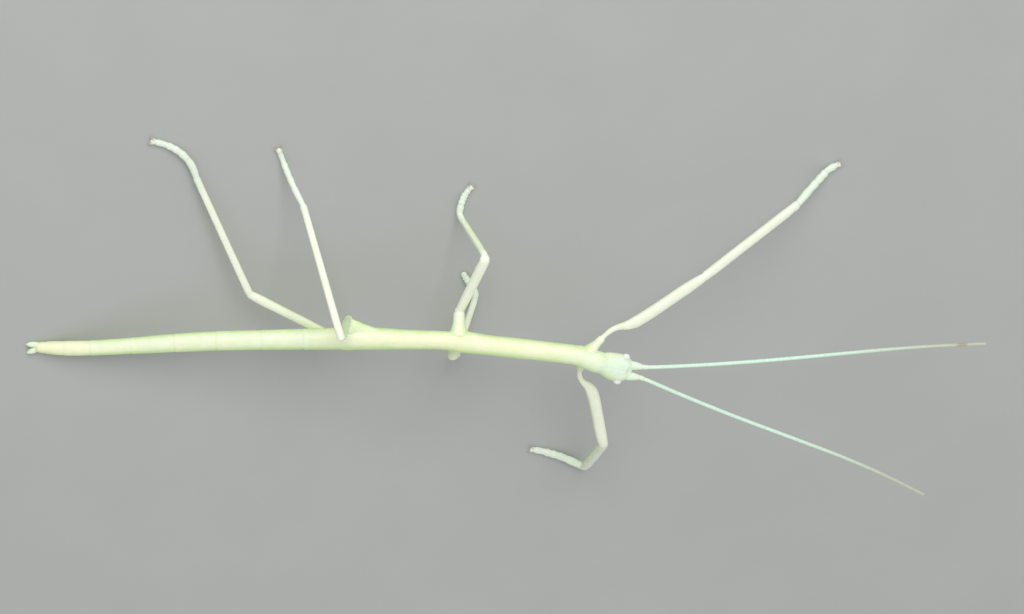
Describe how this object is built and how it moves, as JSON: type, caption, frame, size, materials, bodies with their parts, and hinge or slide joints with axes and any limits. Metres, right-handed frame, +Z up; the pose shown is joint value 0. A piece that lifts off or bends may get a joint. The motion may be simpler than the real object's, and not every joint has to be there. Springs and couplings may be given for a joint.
{
  "type": "stick insect nymph",
  "caption": "Slender wingless pale green young stick insect, standing on thin spread legs with its tail tip on the floor and long feelers held forward.",
  "frame": {"origin": "on the floor at the middle of the flat under the tip of the abdomen", "axes": "+X towards the head, +Y to the insect's left, +Z up"},
  "size_m": [0.1364, 0.0655, 0.0226],
  "materials": {
    "body_cuticle": "waxy, slightly translucent cuticle, cream along the back and yellow-green on the flanks",
    "leg_cuticle": "waxy pale green cuticle with fine ridges",
    "foot_cuticle": "pale beige cuticle, darker at the joints and claws",
    "feeler_cuticle": "cool white ringed cuticle, beige towards the tips",
    "eye": "glossy pinkish white bead"
  },
  "bodies": {
    "root": {"abdomen_10": "body_cuticle", "abdomen_2": "body_cuticle", "abdomen_3": "body_cuticle", "abdomen_4": "body_cuticle", "abdomen_5": "body_cuticle", "abdomen_6": "body_cuticle", "abdomen_7": "body_cuticle", "abdomen_8": "body_cuticle", "abdomen_9": "body_cuticle", "antenna_flagellum_left_a": "feeler_cuticle", "antenna_flagellum_left_b": "feeler_cuticle", "antenna_flagellum_left_c": "feeler_cuticle", "antenna_flagellum_right_a": "feeler_cuticle", "antenna_flagellum_right_b": "feeler_cuticle", "antenna_flagellum_right_c": "feeler_cuticle", "antenna_pedicel_left": "feeler_cuticle", "antenna_pedicel_right": "feeler_cuticle", "antenna_scape_left": "feeler_cuticle", "antenna_scape_right": "feeler_cuticle", "cercus_left": "body_cuticle", "cercus_right": "body_cuticle", "coxa_fore_left": "body_cuticle", "coxa_fore_right": "body_cuticle", "coxa_hind_left": "body_cuticle", "coxa_hind_right": "body_cuticle", "coxa_mid_left": "body_cuticle", "coxa_mid_right": "body_cuticle", "eye_left": "eye", "eye_right": "eye", "femur_fore_left": "leg_cuticle", "femur_fore_right": "leg_cuticle", "femur_hind_left": "leg_cuticle", "femur_hind_right": "leg_cuticle", "femur_mid_left": "leg_cuticle", "femur_mid_right": "leg_cuticle", "head": "body_cuticle", "mesothorax": "body_cuticle", "metathorax": "body_cuticle", "mouthparts": "body_cuticle", "prothorax": "body_cuticle", "tarsus_fore_left": "foot_cuticle", "tarsus_fore_right": "foot_cuticle", "tarsus_hind_left": "foot_cuticle", "tarsus_hind_right": "foot_cuticle", "tarsus_mid_left": "foot_cuticle", "tarsus_mid_right": "foot_cuticle", "tibia_fore_left": "leg_cuticle", "tibia_fore_right": "leg_cuticle", "tibia_hind_left": "leg_cuticle", "tibia_hind_right": "leg_cuticle", "tibia_mid_left": "leg_cuticle", "tibia_mid_right": "leg_cuticle"}
  },
  "joints": []
}
